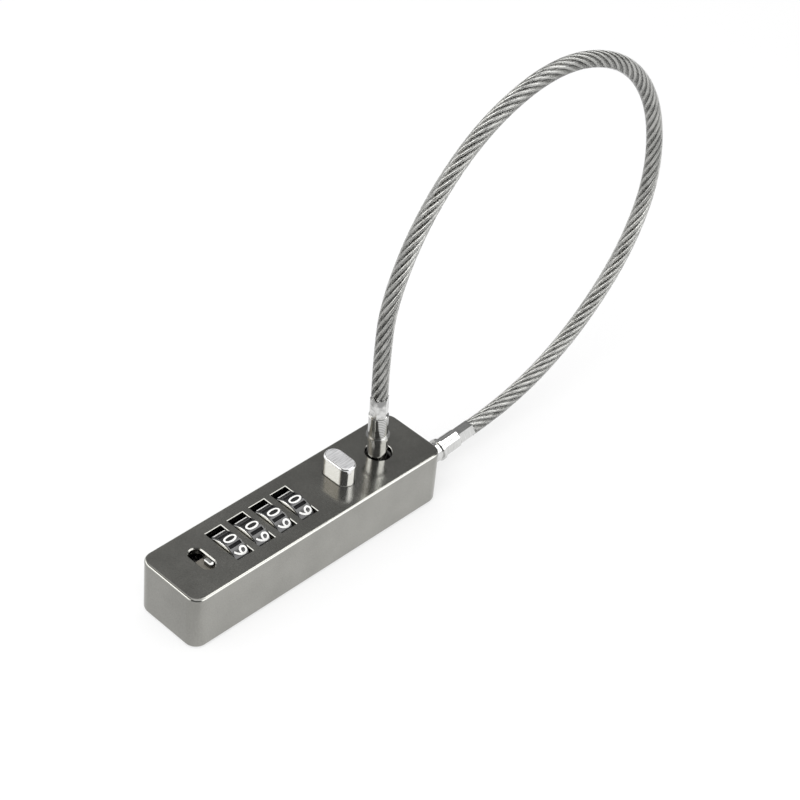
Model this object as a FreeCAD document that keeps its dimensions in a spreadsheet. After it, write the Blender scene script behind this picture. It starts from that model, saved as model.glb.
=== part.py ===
import FreeCAD, Part

import math
import os
import re

import Sketcher

# Combination cable lock, in millimetres. The origin is the middle of the housing's underside,
# +X runs along the housing towards the cable end and +Z is up.

os.makedirs("parts", exist_ok=True)
doc = FreeCAD.newDocument("CableLock")
Vector = FreeCAD.Vector
Rotation = FreeCAD.Rotation
Placement = FreeCAD.Placement

sizes = {
    # housing and cover
    "body_length": 81.0,
    "body_width": 20.0,
    "body_height": 15.5,
    "corner_round": 3.3,
    "top_round": 0.7,
    "foot_round": 1.0,
    "wall": 1.6,
    "roof": 1.5,
    "cover_thick": 1.4,
    "cover_gap": 0.1,
    "midline": 0.4,
    "rim_chamfer": 0.3,
    "window_chamfer": 0.15,
    "window_side_gap": 0.15,
    "window_end_gap": 0.545,
    "post_radius": 1.7,
    "post_near_inset": 4.5,
    "post_far_inset": 6.1,
    "post_side_inset": 3.8,
    "screw_radius": 0.8,
    "screw_length": 5.0,
    "screw_head_radius": 1.6,
    "screw_head_thick": 0.6,
    "screw_gap": 0.05,
    # small allowances: how far a cut passes the face it opens, how deep a joined form reaches
    # into its neighbour, and the chamfer of plain edges
    "cut_over": 0.1,
    "cut_clear": 1.0,
    "join_over": 0.3,
    "edge_cut": 0.3,
    # number wheels
    "wheel_first_x": -21.12,
    "wheel_pitch": 6.9,
    "wheel_rise": 1.04,
    "wheel_radius": 6.4,
    "wheel_width": 4.5,
    "wheel_edge": 0.2,
    "wheel_flange": 0.45,
    "wheel_bore": 3.65,
    "groove_wide": 1.2,
    "groove_floor": 0.5,
    "groove_deep": 0.35,
    "spline_radius": 4.4,
    "spline_long": 1.0,
    "spline_slot": 1.3,
    "spline_gap": 0.1,
    "chamber_spare": 0.7,
    # code sleeves
    "sleeve_gap": 0.1,
    "sleeve_fit": 0.05,
    "chamber_radius": 2.75,
    "gate_ring_long": 1.2,
    "gate_slot": 0.8,
    "gate_wide": 1.2,
    # spindle
    "spindle_radius": 1.6,
    "spindle_fit": 0.08,
    "spindle_tail_x": -27.2,
    "neck_radius": 1.1,
    "neck_gap": 0.05,
    "head_thick": 0.45,
    "fin_wide": 0.6,
    "fin_long": 1.0,
    "fin_reach": 2.6,
    "fin_gap": 0.2,
    # wheel frame and detent
    "frame_near_x": -27.0,
    "frame_far_x": 6.6,
    "frame_sheet": 0.9,
    "frame_width": 8.0,
    "floor_near_side": 1.3,
    "floor_far_side": 0.8,
    "floor_end_gap": 0.3,
    "lug_rise": 2.06,
    "shelf_thick": 0.4,
    "shelf_gap": 0.15,
    "shelf_end_x": -33.2,
    "seat_gap": 0.1,
    "leaf_thick": 0.25,
    "leaf_strip": 1.2,
    "leaf_gap": 0.05,
    "leaf_finger": 3.4,
    "leaf_tip_gap": 0.15,
    "leaf_tip_half": 0.4,
    "leaf_tip_high": 0.5,
    "leaf_end": 1.1,
    # reset
    "slot_x": -29.55,
    "slot_wide": 3.5,
    "slot_long": 7.7,
    "lever_thick": 1.3,
    "lever_gap": 0.2,
    "lever_travel": 3.1,
    "lever_near_x": -32.0,
    "lever_wedge_x": -27.2,
    "lever_nose": 2.9,
    "lever_drop": 0.35,
    "tab_wide": 1.25,
    "tab_long": 2.7,
    "tab_side_gap": 0.15,
    "tab_forward": 0.2,
    "tab_round": 0.2,
    "shift": 1.1,
    "wedge_gap": 0.12,
    "tail_wide": 2.8,
    "tail_long": 1.4,
    "fork_thick": 0.85,
    "fork_gap": 0.1,
    "fork_wide": 7.2,
    "fork_slot": 3.6,
    "fork_foot_z": 6.5,
    # button
    "button_x": 14.38,
    "button_wide": 5.0,
    "button_long": 9.0,
    "button_rise": 5.5,
    "button_round": 0.6,
    "button_gap": 0.1,
    "button_travel": 2.4,
    "ear_reach": 1.1,
    "ear_thick": 0.9,
    "ear_gap": 0.2,
    "ear_wide": 4.0,
    "tongue_long": 3.0,
    "tongue_wide": 3.2,
    "tongue_gap": 0.2,
    "tongue_tip_z": 5.0,
    "ramp_rise": 2.9,
    "ramp_gap": 0.14,
    # latch
    "latch_low_z": 4.4,
    "latch_thick": 3.0,
    "latch_width": 4.8,
    "latch_window": 3.6,
    "yoke_near_x": 10.4,
    "yoke_thick": 1.2,
    "yoke_rise": 2.06,
    "bar_end_gap": 1.06,
    "nose_lift": 1.2,
    "nose_reach": 1.9,
    "nose_thick": 1.6,
    "guide_gap": 0.7,
    # plug hole
    "hole_inset": 12.54,
    "hole_lip": 0.37,
    "socket_fit": 0.5,
    "socket_wall": 0.9,
    "socket_flange": 5.0,
    "socket_low_z": 8.7,
    "socket_flange_thick": 0.8,
    "press_gap": 0.05,
    # terminals
    "pin_radius": 2.5,
    "point_long": 0.5,
    "point_deep": 0.4,
    "collar_radius": 2.95,
    "collar_thick": 0.8,
    "sleeve_end_radius": 2.45,
    "neck_flats": 4.1,
    "plug_pin_length": 12.6,
    "plug_sleeve_length": 6.6,
    "plug_neck_length": 5.5,
    "end_pin_length": 11.1,
    "end_sleeve_length": 5.9,
    "end_neck_length": 4.9,
    "plug_pivot_z": 6.1,
    "plug_lift": 2.4,
    "plug_lean": 3.1,
    "plug_groove_start": 3.2,
    "plug_groove_long": 2.2,
    "plug_groove_radius": 1.6,
    "pin_bore_radius": 1.5,
    "pin_bore_deep": 2.6,
    "clip_groove_start": 1.95,
    "clip_groove_long": 0.8,
    "clip_groove_radius": 1.9,
    "clip_thick": 0.6,
    "clip_radius": 3.3,
    "clip_mouth": 3.0,
    "end_hole_gap": 0.1,
    "end_boss_room": 1.5,
    "first_run": 11.02,
    "last_run": 9.926,
    "rope_end_reach": 18.0,
    "rope_end_y": -2.4,
    "rope_end_z": 7.685,
    "end_lean": 4.13,
    # rope
    "rope_radius": 1.5,
    "jacket_radius": 2.1,
    "jacket_gap": 0.05,
    # coil springs
    "spring_wire": 0.4,
    "spring_gap": 0.1,
    "reset_coil_radius": 3.1,
    "latch_coil_radius": 2.15,
    "button_coil_radius": 0.75,
    "button_coil_y": 3.45,
    "button_boss_z": 6.0,
    "button_boss_radius": 0.9,
    "peg_height": 1.2,
    "ejector_coil_radius": 0.95,
}

sheet = doc.addObject("Spreadsheet::Sheet", "Sizes")
for row, (name, number) in enumerate(sizes.items(), start=1):
    sheet.set(f"A{row}", name)
    sheet.set(f"B{row}", str(number))
    sheet.setAlias(f"B{row}", name)
doc.recompute()


def ex(text):
    # a size's name becomes a reference to its cell
    return re.sub(
        r"[a-z][a-z_]*",
        lambda word: "Sizes." + word.group() if word.group() in sizes else word.group(),
        str(text),
    )


def val(text):
    return float(sheet.evalExpression(ex(text)))


digits = 10
wheels = 4

# Places that several pieces share, each written once
roof_z = "(body_height - roof)"
post_near_x = "(-body_length / 2 + post_near_inset)"
post_far_x = "(body_length / 2 - post_far_inset)"
post_y = "(body_width / 2 - post_side_inset)"
hole_x = "(body_length / 2 - hole_inset)"
socket_bore = "(pin_radius + socket_fit)"
wheel_z = "(body_height + wheel_rise - wheel_radius)"
window_long = "(wheel_width + 2 * window_side_gap)"
under_roof = f"({roof_z} - {wheel_z})"
wheel_chord = f"sqrt(wheel_radius * wheel_radius - {under_roof} * {under_roof})"
window_half = f"({wheel_chord} + window_end_gap)"
lever_top = f"({roof_z} - lever_gap)"
lever_low = f"({lever_top} - lever_thick)"
sleeve_radius = "(wheel_bore - sleeve_fit)"
ring_radius = "(spindle_radius + spindle_fit)"
sleeve_half = "(wheel_pitch / 2 - sleeve_gap / 2)"
tooth_radius = "(spline_radius - spline_gap)"
frame_floor = "(cover_thick + seat_gap)"
frame_top = f"({frame_floor} + frame_sheet)"
wheel_row = f"({wheels - 1} * wheel_pitch)"
last_wheel = f"(wheel_first_x + {wheel_row})"
ramp_top_z = "(tongue_tip_z + ramp_rise)"
tongue_near = "(button_x - tongue_long / 2)"
latch_top_z = "(latch_low_z + latch_thick)"
bar_end_x = f"({hole_x} - pin_radius - bar_end_gap)"
ear_low = f"({roof_z} - ear_gap - ear_thick)"
fork_near = f"(wheel_first_x - {sleeve_half} - fork_thick - fork_gap)"
post_places = [(x, y) for x in (post_near_x, post_far_x) for y in (f"-{post_y}", post_y)]


# Sketches


def plane_of(body, role):
    return next(o for o in body.Origin.OriginFeatures if o.Role == role)


def make_body(label, x=0, y=0, z=0):
    body = doc.addObject("PartDesign::Body", label)
    body.Label = label
    for axis, text in zip("xyz", (x, y, z)):
        if text:
            body.setExpression(f"Placement.Base.{axis}", ex(text))
    return body


def make_sketch(body, role, offset=0, turn=0):
    sketch = body.newObject("Sketcher::SketchObject", "Sketch")
    sketch.AttachmentSupport = [(plane_of(body, role), "")]
    sketch.MapMode = "FlatFace"
    sketch.AttachmentOffset = Placement(Vector(), Rotation(Vector(0, 0, 1), turn))
    sketch.setExpression(".AttachmentOffset.Base.z", ex(offset))
    return sketch


def bind(sketch, kind, places, text):
    number = sketch.addConstraint(Sketcher.Constraint(kind, *places, val(text)))
    sketch.renameConstraint(number, f"size{number}")
    sketch.setExpression(f"Constraints.size{number}", ex(text))


def pin_down(sketch, geometry, point, x, y):
    bind(sketch, "DistanceX", (-1, 1, geometry, point), x)
    bind(sketch, "DistanceY", (-1, 1, geometry, point), y)


def polygon(sketch, corners):
    first = sketch.GeometryCount
    points = [Vector(val(x), val(y), 0) for x, y in corners]
    count = len(points)
    for n in range(count):
        sketch.addGeometry(Part.LineSegment(points[n], points[(n + 1) % count]))
    for n in range(count):
        sketch.addConstraint(
            Sketcher.Constraint("Coincident", first + n, 2, first + (n + 1) % count, 1)
        )
    for n, (x, y) in enumerate(corners):
        pin_down(sketch, first + n, 1, x, y)
    return sketch


def rectangle(sketch, left, low, right, high):
    return polygon(sketch, [(left, low), (right, low), (right, high), (left, high)])


def circle(sketch, x, y, radius):
    centre = Vector(val(x), val(y), 0)
    number = sketch.addGeometry(Part.Circle(centre, Vector(0, 0, 1), val(radius)))
    pin_down(sketch, number, 3, x, y)
    bind(sketch, "Radius", (number,), radius)
    return sketch


def belt(sketch, centres, radius):
    # equal arcs round the centres, in anticlockwise order, joined by tangent lines
    first = sketch.GeometryCount
    count = len(centres)
    places = [Vector(val(x), val(y), 0) for x, y in centres]
    r = val(radius)
    for n, place in enumerate(places):
        before, after = place - places[n - 1], places[(n + 1) % count] - place
        start = math.atan2(before.y, before.x) - math.pi / 2
        sweep = before.getAngle(after)
        ring = Part.Circle(place, Vector(0, 0, 1), r)
        arc = Part.ArcOfCircle(ring, start, start + sweep)
        out = Vector(after.y, -after.x, 0).normalize() * r
        sketch.addGeometry(arc)
        sketch.addGeometry(Part.LineSegment(place + out, place + after + out))
    for n, (x, y) in enumerate(centres):
        arc, line = first + 2 * n, first + 2 * n + 1
        sketch.addConstraint(Sketcher.Constraint("Tangent", arc, 2, line, 1))
        following = first + (2 * n + 2) % (2 * count)
        sketch.addConstraint(Sketcher.Constraint("Tangent", line, 2, following, 1))
        pin_down(sketch, arc, 3, x, y)
    bind(sketch, "Radius", (first,), radius)
    return sketch


def obround(sketch, x, low, high, width):
    radius = f"({width}) / 2"
    return belt(sketch, [(x, f"({low}) + {radius}"), (x, f"({high}) - {radius}")], radius)


def rounded(sketch, half_long, half_wide, radius):
    x, y = f"({half_long} - ({radius}))", f"({half_wide} - ({radius}))"
    return belt(sketch, [(f"-{x}", f"-{y}"), (x, f"-{y}"), (x, y), (f"-{x}", y)], radius)


# Features


def pad(sketch, length, symmetric=False):
    body = sketch.getParentGeoFeatureGroup()
    feature = body.newObject("PartDesign::Pad", "Pad")
    feature.Profile = sketch
    feature.SideType = "Symmetric" if symmetric else "One side"
    feature.setExpression("Length", ex(length))
    return feature


pockets = []


def pocket(sketch, length, along=True, symmetric=False):
    # along: the cut goes the way the sketch's own normal points
    body = sketch.getParentGeoFeatureGroup()
    feature = body.newObject("PartDesign::Pocket", "Pocket")
    feature.Profile = sketch
    feature.SideType = "Symmetric" if symmetric else "One side"
    feature.Reversed = along
    feature.setExpression("Length", ex(length))
    pockets.append(feature)
    return feature


def revolve(sketch, role):
    body = sketch.getParentGeoFeatureGroup()
    feature = body.newObject("PartDesign::Revolution", "Revolution")
    feature.Profile = sketch
    feature.ReferenceAxis = (plane_of(body, role), [""])
    feature.Angle = 360
    return feature


def around_x(feature):
    body = feature.getParentGeoFeatureGroup()
    pattern = body.newObject("PartDesign::PolarPattern", "PolarPattern")
    pattern.Originals = [feature]
    pattern.Axis = (plane_of(body, "X_Axis"), [""])
    pattern.Angle = 360
    pattern.Occurrences = digits
    body.Tip = pattern
    return pattern


def along_x(feature):
    body = feature.getParentGeoFeatureGroup()
    pattern = body.newObject("PartDesign::LinearPattern", "LinearPattern")
    pattern.Originals = [feature]
    pattern.Direction = (plane_of(body, "X_Axis"), [""])
    pattern.setExpression("Length", ex(wheel_row))
    pattern.Occurrences = wheels
    body.Tip = pattern
    return pattern


def dress(body, kind, size, chosen):
    # rounds or chamfers the edges of the body that the test chooses
    doc.recompute()
    base = body.Tip
    names = [f"Edge{n}" for n, edge in enumerate(base.Shape.Edges, start=1) if chosen(edge)]
    feature = body.newObject(f"PartDesign::{kind}", kind)
    feature.Base = (base, names)
    feature.setExpression("Radius" if kind == "Fillet" else "Size", ex(size))
    body.Tip = feature
    doc.recompute()
    return feature


def level_at(z):
    def test(edge):
        return edge.BoundBox.ZLength < 0.01 and abs(edge.BoundBox.ZMin - z) < 0.01

    return test


def within(edge, x, y):
    centre = edge.BoundBox.Center
    return abs(centre.x) < x and abs(centre.y) < y


# Housing: an open-bottomed die casting with windows, holes, screw posts and the socket's boss


def make_housing():
    body = make_body("housing")
    half_long, half_wide = "body_length / 2", "body_width / 2"
    pad(
        rounded(make_sketch(body, "XY_Plane"), half_long, half_wide, "corner_round"),
        "body_height",
    )
    top = level_at(val("body_height"))
    dress(body, "Fillet", "top_round", top)
    dress(body, "Fillet", "foot_round", level_at(0))

    pocket(
        rounded(
            make_sketch(body, "XY_Plane"),
            f"({half_long} - wall)", f"({half_wide} - wall)", "corner_round - wall",
        ),
        roof_z,
    )

    post_low = "(cover_thick + cover_gap)"
    for x, y in post_places:
        post = circle(make_sketch(body, "XY_Plane", post_low), x, y, "post_radius")
        pad(post, f"{roof_z} - {post_low}")
        hole = circle(make_sketch(body, "XY_Plane", post_low), x, y, "screw_radius + screw_gap")
        pocket(hole, "screw_length")
    boss_low = "(socket_low_z + socket_flange_thick + press_gap)"
    pad(
        circle(make_sketch(body, "XY_Plane", boss_low), hole_x, "midline", "socket_flange"),
        f"{roof_z} - {boss_low}",
    )
    pocket(
        circle(
            make_sketch(body, "XY_Plane", boss_low),
            hole_x, "midline", f"{socket_bore} + socket_wall + press_gap",
        ),
        f"{roof_z} - {boss_low}",
    )

    window = pocket(
        rectangle(
            make_sketch(body, "XY_Plane", "body_height"),
            f"wheel_first_x - {window_long} / 2", f"midline - {window_half}",
            f"wheel_first_x + {window_long} / 2", f"midline + {window_half}",
        ),
        "roof",
        along=False,
    )
    along_x(window)
    pocket(
        obround(
            make_sketch(body, "XY_Plane", "body_height"),
            "button_x",
            "midline - button_long / 2 - button_gap",
            "midline + button_long / 2 + button_gap",
            "button_wide + 2 * button_gap",
        ),
        "roof",
        along=False,
    )
    pocket(
        circle(
            make_sketch(body, "XY_Plane", "body_height"),
            hole_x, "midline", f"{socket_bore} + hole_lip",
        ),
        "roof",
        along=False,
    )
    pocket(
        obround(
            make_sketch(body, "XY_Plane", "body_height"),
            "slot_x", "midline - slot_long / 2", "midline + slot_long / 2", "slot_wide",
        ),
        "roof",
        along=False,
    )

    inside = val(f"{half_long} - corner_round"), val(f"{half_wide} - top_round")
    first_rib = val(f"(slot_x + slot_wide / 2 + wheel_first_x - {window_long} / 2) / 2")

    def at_slot(edge):
        return top(edge) and within(edge, *inside) and edge.BoundBox.XMax < first_rib

    def at_windows(edge):
        return top(edge) and within(edge, *inside) and edge.BoundBox.XMax > first_rib

    dress(body, "Chamfer", "rim_chamfer", at_slot)
    dress(body, "Chamfer", "window_chamfer", at_windows)

    pocket(
        circle(
            make_sketch(body, "YZ_Plane", f"{half_long} + cut_clear"),
            str(end_hole_y), str(end_hole_z), "pin_radius + end_hole_gap",
        ),
        "cut_clear + wall + end_boss_room",
        along=False,
    )
    return body


# Number wheel: smooth side flanges, ten finger grooves and ten inner slots for the sleeve's teeth


def make_wheel(label, x):
    body = make_body(label, x, "midline", wheel_z)
    half = "wheel_width / 2"
    chamber_end = f"-{half} + spline_long - sleeve_gap + shift + chamber_spare"
    rim = polygon(
        make_sketch(body, "XZ_Plane"),
        [
            (f"-{half}", "wheel_bore"),
            (f"-{half}", "wheel_radius - wheel_edge"),
            (f"-{half} + wheel_edge", "wheel_radius"),
            (f"{half} - wheel_edge", "wheel_radius"),
            (half, "wheel_radius - wheel_edge"),
            (half, "wheel_bore"),
            (chamber_end, "wheel_bore"),
            (chamber_end, "spline_radius"),
            (f"-{half} + spline_long", "spline_radius"),
            (f"-{half} + spline_long", "wheel_bore"),
        ],
    )
    revolve(rim, "X_Axis")
    slot = rectangle(
        make_sketch(body, "YZ_Plane", f"-{half}"),
        "-spline_slot / 2", "wheel_bore - join_over", "spline_slot / 2", "spline_radius",
    )
    around_x(pocket(slot, "spline_long"))
    groove = polygon(
        make_sketch(body, "YZ_Plane", f"-{half} + wheel_flange", turn=180 / digits),
        [
            ("-groove_wide / 2", "wheel_radius + cut_over"),
            ("-groove_floor / 2", "wheel_radius - groove_deep"),
            ("groove_floor / 2", "wheel_radius - groove_deep"),
            ("groove_wide / 2", "wheel_radius + cut_over"),
        ],
    )
    around_x(pocket(groove, "wheel_width - 2 * wheel_flange"))
    return body


# Code sleeve: ten outer teeth drive it from the wheel, and an inner ring of nine teeth stops the
# spindle's fin at every digit but one


def make_sleeve(label, x):
    body = make_body(label, x, "midline", wheel_z)
    ring = "gate_ring_long / 2"
    tube = polygon(
        make_sketch(body, "XZ_Plane"),
        [
            (f"-{sleeve_half}", "chamber_radius"),
            (f"-{sleeve_half}", sleeve_radius),
            (sleeve_half, sleeve_radius),
            (sleeve_half, "chamber_radius"),
            (ring, "chamber_radius"),
            (ring, ring_radius),
            (f"-{ring}", ring_radius),
            (f"-{ring}", "chamber_radius"),
        ],
    )
    revolve(tube, "X_Axis")
    slot = rectangle(
        make_sketch(body, "YZ_Plane", f"-{ring}", turn=180 / digits),
        "-gate_slot / 2", f"{ring_radius} - join_over", "gate_slot / 2", "chamber_radius",
    )
    around_x(pocket(slot, "gate_ring_long"))
    gate = rectangle(
        make_sketch(body, "YZ_Plane", f"-{ring}"),
        "-gate_wide / 2", "-chamber_radius", "gate_wide / 2", f"-{ring_radius} + join_over",
    )
    pocket(gate, "gate_ring_long")
    tooth = rectangle(
        make_sketch(body, "YZ_Plane", "-wheel_width / 2 + sleeve_gap"),
        "-spline_slot / 2 + spline_gap", f"{sleeve_radius} - join_over",
        "spline_slot / 2 - spline_gap", tooth_radius,
    )
    around_x(pad(tooth, "spline_long - 2 * sleeve_gap"))
    return body


# Spindle: a sliding shaft with one fin beside each sleeve's ring and a head that the latch holds


def make_spindle():
    body = make_body("spindle", 0, "midline", wheel_z)
    neck = "yoke_near_x - neck_gap"
    head = "yoke_near_x + yoke_thick + neck_gap"
    shaft = polygon(
        make_sketch(body, "XZ_Plane"),
        [
            ("spindle_tail_x", "0"),
            ("spindle_tail_x", "spindle_radius - edge_cut"),
            ("spindle_tail_x + edge_cut", "spindle_radius"),
            (neck, "spindle_radius"),
            (neck, "neck_radius"),
            (head, "neck_radius"),
            (head, "spindle_radius"),
            (f"{head} + head_thick", "spindle_radius"),
            (f"{head} + head_thick", "0"),
        ],
    )
    revolve(shaft, "X_Axis")
    fin = rectangle(
        make_sketch(body, "YZ_Plane", "wheel_first_x + gate_ring_long / 2 + fin_gap"),
        "-fin_wide / 2", "-fin_reach", "fin_wide / 2", "-spindle_radius + join_over",
    )
    along_x(pad(fin, "fin_long"))
    return body


# Wheel frame: a folded bracket whose lugs carry the spindle and whose shelf carries the lever,
# with its floor open under the wheels


def make_wheel_frame():
    body = make_body("wheel_frame", 0, "midline", 0)
    shelf_top = f"{lever_low} - shelf_gap"
    lug_top = f"{wheel_z} + lug_rise"
    profile = polygon(
        make_sketch(body, "XZ_Plane"),
        [
            ("frame_near_x", frame_floor),
            ("frame_far_x", frame_floor),
            ("frame_far_x", lug_top),
            ("frame_far_x - frame_sheet", lug_top),
            ("frame_far_x - frame_sheet", frame_top),
            ("frame_near_x + frame_sheet", frame_top),
            ("frame_near_x + frame_sheet", shelf_top),
            ("shelf_end_x", shelf_top),
            ("shelf_end_x", f"{shelf_top} - shelf_thick"),
            ("frame_near_x", f"{shelf_top} - shelf_thick"),
        ],
    )
    pad(profile, "frame_width", symmetric=True)
    bore = circle(
        make_sketch(body, "YZ_Plane", "frame_far_x + cut_clear"),
        "0", wheel_z, "spindle_radius + spindle_fit / 2",
    )
    pocket(bore, "frame_far_x - frame_near_x + 2 * cut_clear", along=False)
    wheel_side = "(wheel_width / 2 + floor_end_gap)"
    floor = rectangle(
        make_sketch(body, "XY_Plane", frame_floor),
        f"wheel_first_x - {wheel_side}", "-frame_width / 2 + floor_near_side",
        f"{last_wheel} + {wheel_side}", "frame_width / 2 - floor_far_side",
    )
    pocket(floor, "frame_sheet")
    return body


# Detent spring: one leaf with a finger under each wheel, its tip in the groove beside the digit


def make_detent_spring():
    body = make_body("detent_spring", 0, "midline", 0)
    low = f"({frame_top} + leaf_gap)"
    left = "-frame_width / 2 + seat_gap"
    root = f"{left} + leaf_strip - cut_over"
    strip = rectangle(
        make_sketch(body, "XY_Plane", low),
        "wheel_first_x - leaf_finger / 2", left,
        f"{last_wheel} + leaf_finger / 2", f"{left} + leaf_strip",
    )
    pad(strip, "leaf_thick")
    tip_radius = "(wheel_radius - groove_deep + leaf_tip_gap)"
    tip_y = f"({tip_radius} * sin({180 / digits}))"
    tip_z = f"({wheel_z} - {tip_radius} * cos({180 / digits}))"
    foot = f"{tip_z} - leaf_tip_high"
    finger = polygon(
        make_sketch(body, "YZ_Plane", "wheel_first_x - leaf_finger / 2"),
        [
            (root, low),
            (f"{tip_y} - leaf_tip_half", f"{foot} - leaf_thick"),
            (f"{tip_y} + leaf_end", f"{foot} - leaf_thick"),
            (f"{tip_y} + leaf_end", foot),
            (f"{tip_y} + leaf_tip_half", foot),
            (tip_y, tip_z),
            (f"{tip_y} - leaf_tip_half", foot),
            (root, f"{low} + leaf_thick"),
        ],
    )
    along_x(pad(finger, "leaf_finger"))
    return body


# Reset plate: its tail rides on the lever's wedge and its fork pushes the first sleeve


def wedge_x(y, gap="0"):
    # the slanted line between lever and plate, at a distance y from the midline
    return f"lever_wedge_x - ({y} + lever_travel / 2) * shift / lever_travel + {gap}"


def make_reset_plate():
    body = make_body("reset_plate", 0, "midline", 0)
    half = "fork_wide / 2"
    tail_low, tail_high = "-tail_wide / 2", "tail_wide / 2"
    shoulder = "lever_wedge_x + tail_long"
    plate = polygon(
        make_sketch(body, "XY_Plane", lever_low),
        [
            (wedge_x(tail_low, "wedge_gap"), tail_low),
            (shoulder, tail_low),
            (shoulder, f"-{half}"),
            (f"{fork_near} + fork_thick", f"-{half}"),
            (f"{fork_near} + fork_thick", half),
            (shoulder, half),
            (shoulder, tail_high),
            (wedge_x(tail_high, "wedge_gap"), tail_high),
        ],
    )
    pad(plate, "lever_thick")
    slot_top = f"{wheel_z} + fork_slot / 2"
    fork = polygon(
        make_sketch(body, "YZ_Plane", fork_near),
        [
            (f"-{half}", "fork_foot_z"),
            ("-fork_slot / 2", "fork_foot_z"),
            ("-fork_slot / 2", slot_top),
            ("fork_slot / 2", slot_top),
            ("fork_slot / 2", "fork_foot_z"),
            (half, "fork_foot_z"),
            (half, lever_top),
            (f"-{half}", lever_top),
        ],
    )
    pad(fork, "fork_thick")
    return body


# Reset lever: a wedge plate under the roof with a thin tab that stands along the slot's far side


def make_reset_lever():
    body = make_body("reset_lever", 0, "midline", 0)
    low, high = "(-lever_travel / 2 - lever_nose)", "(-lever_travel / 2 + lever_nose)"
    plate = polygon(
        make_sketch(body, "XY_Plane", lever_low),
        [
            ("lever_near_x", low),
            (wedge_x(low), low),
            (wedge_x(high), high),
            ("lever_near_x", high),
        ],
    )
    pad(plate, "lever_thick")
    tab_x = "slot_x + slot_wide / 2 - tab_side_gap - tab_wide / 2"
    tab_y = "tab_forward - lever_travel / 2"
    tab = obround(
        make_sketch(body, "XY_Plane", lever_top),
        tab_x, f"{tab_y} - tab_long / 2", f"{tab_y} + tab_long / 2", "tab_wide",
    )
    pad(tab, f"body_height - lever_drop - {lever_top}")
    dress(body, "Fillet", "tab_round", level_at(val("body_height - lever_drop")))
    return body


# Latch: a bar with a ramped window for the button, a yoke for the spindle and a nose for the plug


def make_latch():
    body = make_body("latch", 0, "midline", 0)
    nose_low = "(latch_low_z + nose_lift)"
    nose_tip = f"{bar_end_x} + nose_reach"
    yoke_top = f"({wheel_z} + yoke_rise)"
    side = polygon(
        make_sketch(body, "XZ_Plane"),
        [
            ("yoke_near_x", "latch_low_z"),
            (bar_end_x, "latch_low_z"),
            (bar_end_x, nose_low),
            (nose_tip, nose_low),
            (nose_tip, f"{nose_low} + nose_thick / 2"),
            (f"{nose_tip} - nose_thick / 2", f"{nose_low} + nose_thick"),
            (bar_end_x, f"{nose_low} + nose_thick"),
            (bar_end_x, latch_top_z),
            ("yoke_near_x + yoke_thick", latch_top_z),
            ("yoke_near_x + yoke_thick", yoke_top),
            ("yoke_near_x", yoke_top),
        ],
    )
    pad(side, "latch_width", symmetric=True)
    low, high = "latch_low_z - cut_over", f"{latch_top_z} + cut_over"
    far = "tongue_long / 2 + button_x + button_travel + tongue_gap"
    window = polygon(
        make_sketch(body, "XZ_Plane"),
        [
            (f"{tongue_near} + {ramp_top_z} - ({low}) - ramp_gap", low),
            (far, low),
            (far, high),
            (f"{tongue_near} + {ramp_top_z} - ({high}) - ramp_gap", high),
        ],
    )
    pocket(window, "latch_window", symmetric=True)
    slot = obround(
        make_sketch(body, "YZ_Plane", "yoke_near_x - cut_clear"),
        "0", f"{wheel_z} - neck_radius - neck_gap", f"{yoke_top} + 2 * neck_radius",
        "2 * (neck_radius + neck_gap)",
    )
    pocket(slot, "yoke_thick + 2 * cut_clear")
    return body


# Button: an obround cap with side ears under the roof and a wedge-ended tongue


def make_button():
    body = make_body("button", "button_x", "midline", 0)
    cap = obround(
        make_sketch(body, "XY_Plane", ear_low),
        "0", "-button_long / 2", "button_long / 2", "button_wide",
    )
    pad(cap, f"body_height + button_rise - {ear_low}")
    dress(body, "Fillet", "button_round", level_at(val("body_height + button_rise")))
    reach = "(button_long / 2 + ear_reach)"
    ears = rectangle(
        make_sketch(body, "XY_Plane", ear_low),
        "-ear_wide / 2", f"-{reach}", "ear_wide / 2", reach,
    )
    pad(ears, "ear_thick")
    half = "tongue_long / 2"
    tongue = polygon(
        make_sketch(body, "XZ_Plane"),
        [
            (f"-{half}", f"{ear_low} + cut_over"),
            (f"-{half}", ramp_top_z),
            (f"-{half} + ramp_rise", "tongue_tip_z"),
            (half, "tongue_tip_z"),
            (half, f"{ear_low} + cut_over"),
        ],
    )
    pad(tongue, "tongue_wide", symmetric=True)
    return body


# Plug socket: a flanged bush pushed up into the housing's boss


def make_plug_socket():
    body = make_body("plug_socket", hole_x, "midline", 0)
    flange_top = "socket_low_z + socket_flange_thick"
    top = f"{roof_z} - press_gap"
    bush = polygon(
        make_sketch(body, "XZ_Plane"),
        [
            (socket_bore, "socket_low_z"),
            ("socket_flange", "socket_low_z"),
            ("socket_flange", flange_top),
            (f"{socket_bore} + socket_wall", flange_top),
            (f"{socket_bore} + socket_wall", top),
            (f"{socket_bore} + edge_cut", top),
            (socket_bore, f"{top} - edge_cut"),
        ],
    )
    revolve(bush, "Z_Axis")
    return body


# Terminal: pin, thin collar, tapered sleeve and a six-sided crimped neck, along its own +Z


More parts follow.
